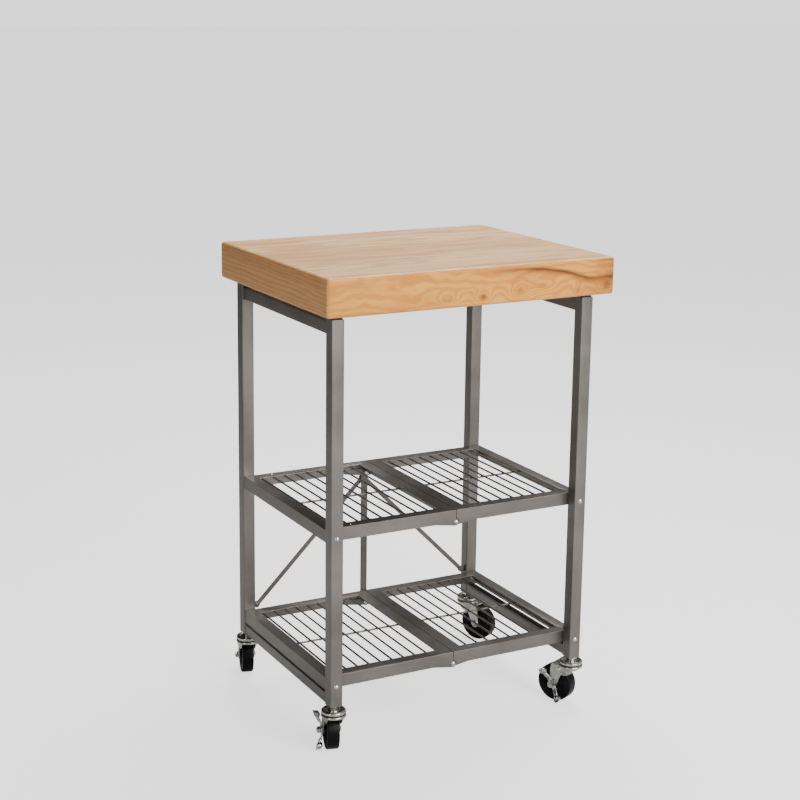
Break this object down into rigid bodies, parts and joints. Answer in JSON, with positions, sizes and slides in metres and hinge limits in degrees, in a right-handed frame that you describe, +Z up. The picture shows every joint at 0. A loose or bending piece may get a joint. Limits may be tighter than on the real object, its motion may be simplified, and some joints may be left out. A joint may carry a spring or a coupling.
{
  "type": "kitchen island cart",
  "caption": "Folding kitchen island cart with a thick wood block top, steel side frames, hinged wire shelves, rear stays and swivel casters, front ones braked.",
  "frame": {"origin": "centre of the bounding box in plan, at floor level", "axes": "+X along the long front edge to the right, +Y from front to back, +Z up"},
  "size_m": [0.6236, 0.5048, 0.9145],
  "materials": {
    "frame_steel": "satin, warm grey",
    "rod_steel": "satin, darker",
    "bar_steel": "satin",
    "bright_zinc": "bright zinc plate",
    "zinc_plate": "zinc plate, slightly green",
    "tyre_rubber": "matte black",
    "hub_plastic": "matte black",
    "plug_plastic": "matte black",
    "pad_rubber": "matte black",
    "wood_block": "oiled butcher block"
  },
  "bodies": {
    "left_frame": {"leg_front_left": "frame_steel", "leg_rear_left": "frame_steel", "top_rail_left": "frame_steel", "low_rail_left": "frame_steel", "top_pads_left": "pad_rubber", "pivot_bolts_left": "bright_zinc", "caster_seats_left": "zinc_plate", "leg_plugs_left": "plug_plastic", "stay_lug_left": "bar_steel"},
    "right_frame": {"leg_front_right": "frame_steel", "leg_rear_right": "frame_steel", "top_rail_right": "frame_steel", "low_rail_right": "frame_steel", "top_pads_right": "pad_rubber", "pivot_bolts_right": "bright_zinc", "caster_seats_right": "zinc_plate", "leg_plugs_right": "plug_plastic", "stay_lug_right": "bar_steel"},
    "mid_shelf_left": {"mid_frame_left": "frame_steel", "mid_rods_left": "rod_steel", "mid_hinge_rivets": "bright_zinc"},
    "mid_shelf_right": {"mid_frame_right": "frame_steel", "mid_rods_right": "rod_steel"},
    "low_shelf_left": {"low_frame_left": "frame_steel", "low_rods_left": "rod_steel", "low_hinge_rivets": "bright_zinc"},
    "low_shelf_right": {"low_frame_right": "frame_steel", "low_rods_right": "rod_steel"},
    "link": {"centre_link": "bar_steel", "link_stud": "bright_zinc"},
    "stay_a": {"stay_left": "bar_steel"},
    "stay_b": {"stay_right": "bar_steel"},
    "top": {"worktop": "wood_block"},
    "swivel_front_left": {"fork_front_left": "zinc_plate", "balls_front_left": "bright_zinc", "axle_front_left": "bright_zinc"},
    "wheel_front_left": {"tyre_front_left": "tyre_rubber", "hub_front_left": "hub_plastic"},
    "brake_front_left": {"lever_front_left": "zinc_plate"},
    "swivel_front_right": {"fork_front_right": "zinc_plate", "balls_front_right": "bright_zinc", "axle_front_right": "bright_zinc"},
    "wheel_front_right": {"tyre_front_right": "tyre_rubber", "hub_front_right": "hub_plastic"},
    "brake_front_right": {"lever_front_right": "zinc_plate"},
    "swivel_rear_left": {"fork_rear_left": "zinc_plate", "balls_rear_left": "bright_zinc", "axle_rear_left": "bright_zinc"},
    "wheel_rear_left": {"tyre_rear_left": "tyre_rubber", "hub_rear_left": "hub_plastic"},
    "swivel_rear_right": {"fork_rear_right": "zinc_plate", "balls_rear_right": "bright_zinc", "axle_rear_right": "bright_zinc"},
    "wheel_rear_right": {"tyre_rear_right": "tyre_rubber", "hub_rear_right": "hub_plastic"}
  },
  "joints": [
    {"name": "shelf_fold", "type": "hinge", "parent": "left_frame", "child": "mid_shelf_left", "pos_m": [-0.28295, -0.02505, 0.4305], "axis": [0, -1, 0], "range_deg": [0, 74]},
    {"name": "mid_centre", "type": "hinge", "parent": "mid_shelf_left", "child": "mid_shelf_right", "pos_m": [-0.01565, -0.02505, 0.4185], "axis": [0, -1, 0], "range_deg": [-148, 0]},
    {"name": "right_upright", "type": "hinge", "parent": "mid_shelf_right", "child": "right_frame", "pos_m": [0.25165, -0.02505, 0.4305], "axis": [0, -1, 0], "range_deg": [0, 74]},
    {"name": "low_fold", "type": "hinge", "parent": "left_frame", "child": "low_shelf_left", "pos_m": [-0.28295, -0.02505, 0.1405], "axis": [0, -1, 0], "range_deg": [0, 74]},
    {"name": "low_centre", "type": "hinge", "parent": "low_shelf_left", "child": "low_shelf_right", "pos_m": [-0.01565, -0.02505, 0.1285], "axis": [0, -1, 0], "range_deg": [-148, 0]},
    {"name": "link_upright", "type": "hinge", "parent": "mid_shelf_left", "child": "link", "pos_m": [-0.01565, 0.16555, 0.4185], "axis": [0, -1, 0], "range_deg": [-74, 0]},
    {"name": "stay_left_swing", "type": "hinge", "parent": "left_frame", "child": "stay_a", "pos_m": [-0.26305, 0.17595, 0.1575], "axis": [0, -1, 0], "range_deg": [0, 38.26]},
    {"name": "stay_right_swing", "type": "hinge", "parent": "right_frame", "child": "stay_b", "pos_m": [0.23175, 0.18095, 0.1575], "axis": [0, -1, 0], "range_deg": [-38.26, 0]},
    {"name": "top_lift", "type": "slide", "parent": "left_frame", "child": "top", "axis": [0, 0, 1], "range_m": [0, 0.25]},
    {"name": "caster_front_left", "type": "hinge", "parent": "left_frame", "child": "swivel_front_left", "pos_m": [-0.28295, -0.22835, 0.09], "axis": [0, 0, 1], "continuous": true},
    {"name": "spin_front_left", "type": "hinge", "parent": "swivel_front_left", "child": "wheel_front_left", "pos_m": [-0.27389, -0.1987, 0.038], "axis": [0.9563, -0.2924, 0], "continuous": true},
    {"name": "brake_front_left", "type": "hinge", "parent": "swivel_front_left", "child": "brake_front_left", "pos_m": [-0.27389, -0.1987, 0.038], "axis": [0.9563, -0.2924, 0], "range_deg": [-22, 0]},
    {"name": "caster_front_right", "type": "hinge", "parent": "right_frame", "child": "swivel_front_right", "pos_m": [0.25165, -0.22835, 0.09], "axis": [0, 0, 1], "continuous": true},
    {"name": "spin_front_right", "type": "hinge", "parent": "swivel_front_right", "child": "wheel_front_right", "pos_m": [0.23904, -0.20003, 0.038], "axis": [0.9135, 0.4067, 0], "continuous": true},
    {"name": "brake_front_right", "type": "hinge", "parent": "swivel_front_right", "child": "brake_front_right", "pos_m": [0.23904, -0.20003, 0.038], "axis": [0.9135, 0.4067, 0], "range_deg": [-22, 0]},
    {"name": "caster_rear_left", "type": "hinge", "parent": "left_frame", "child": "swivel_rear_left", "pos_m": [-0.28295, 0.17825, 0.09], "axis": [0, 0, 1], "continuous": true},
    {"name": "spin_rear_left", "type": "hinge", "parent": "swivel_rear_left", "child": "wheel_rear_left", "pos_m": [-0.27441, 0.20805, 0.038], "axis": [0.9613, -0.2756, 0], "continuous": true},
    {"name": "caster_rear_right", "type": "hinge", "parent": "right_frame", "child": "swivel_rear_right", "pos_m": [0.25165, 0.17825, 0.09], "axis": [0, 0, 1], "continuous": true},
    {"name": "spin_rear_right", "type": "hinge", "parent": "swivel_rear_right", "child": "wheel_rear_right", "pos_m": [0.26475, 0.15015, 0.038], "axis": [-0.9063, -0.4226, 0], "continuous": true}
  ],
  "couplings": [
    {"joint": "mid_centre", "follows": "shelf_fold", "ratio": -2},
    {"joint": "right_upright", "follows": "shelf_fold", "ratio": 1},
    {"joint": "low_fold", "follows": "shelf_fold", "ratio": 1},
    {"joint": "low_centre", "follows": "shelf_fold", "ratio": -2},
    {"joint": "link_upright", "follows": "shelf_fold", "ratio": -1},
    {"joint": "stay_left_swing", "follows": "shelf_fold", "ratio": 0.517},
    {"joint": "stay_right_swing", "follows": "shelf_fold", "ratio": -0.517}
  ]
}
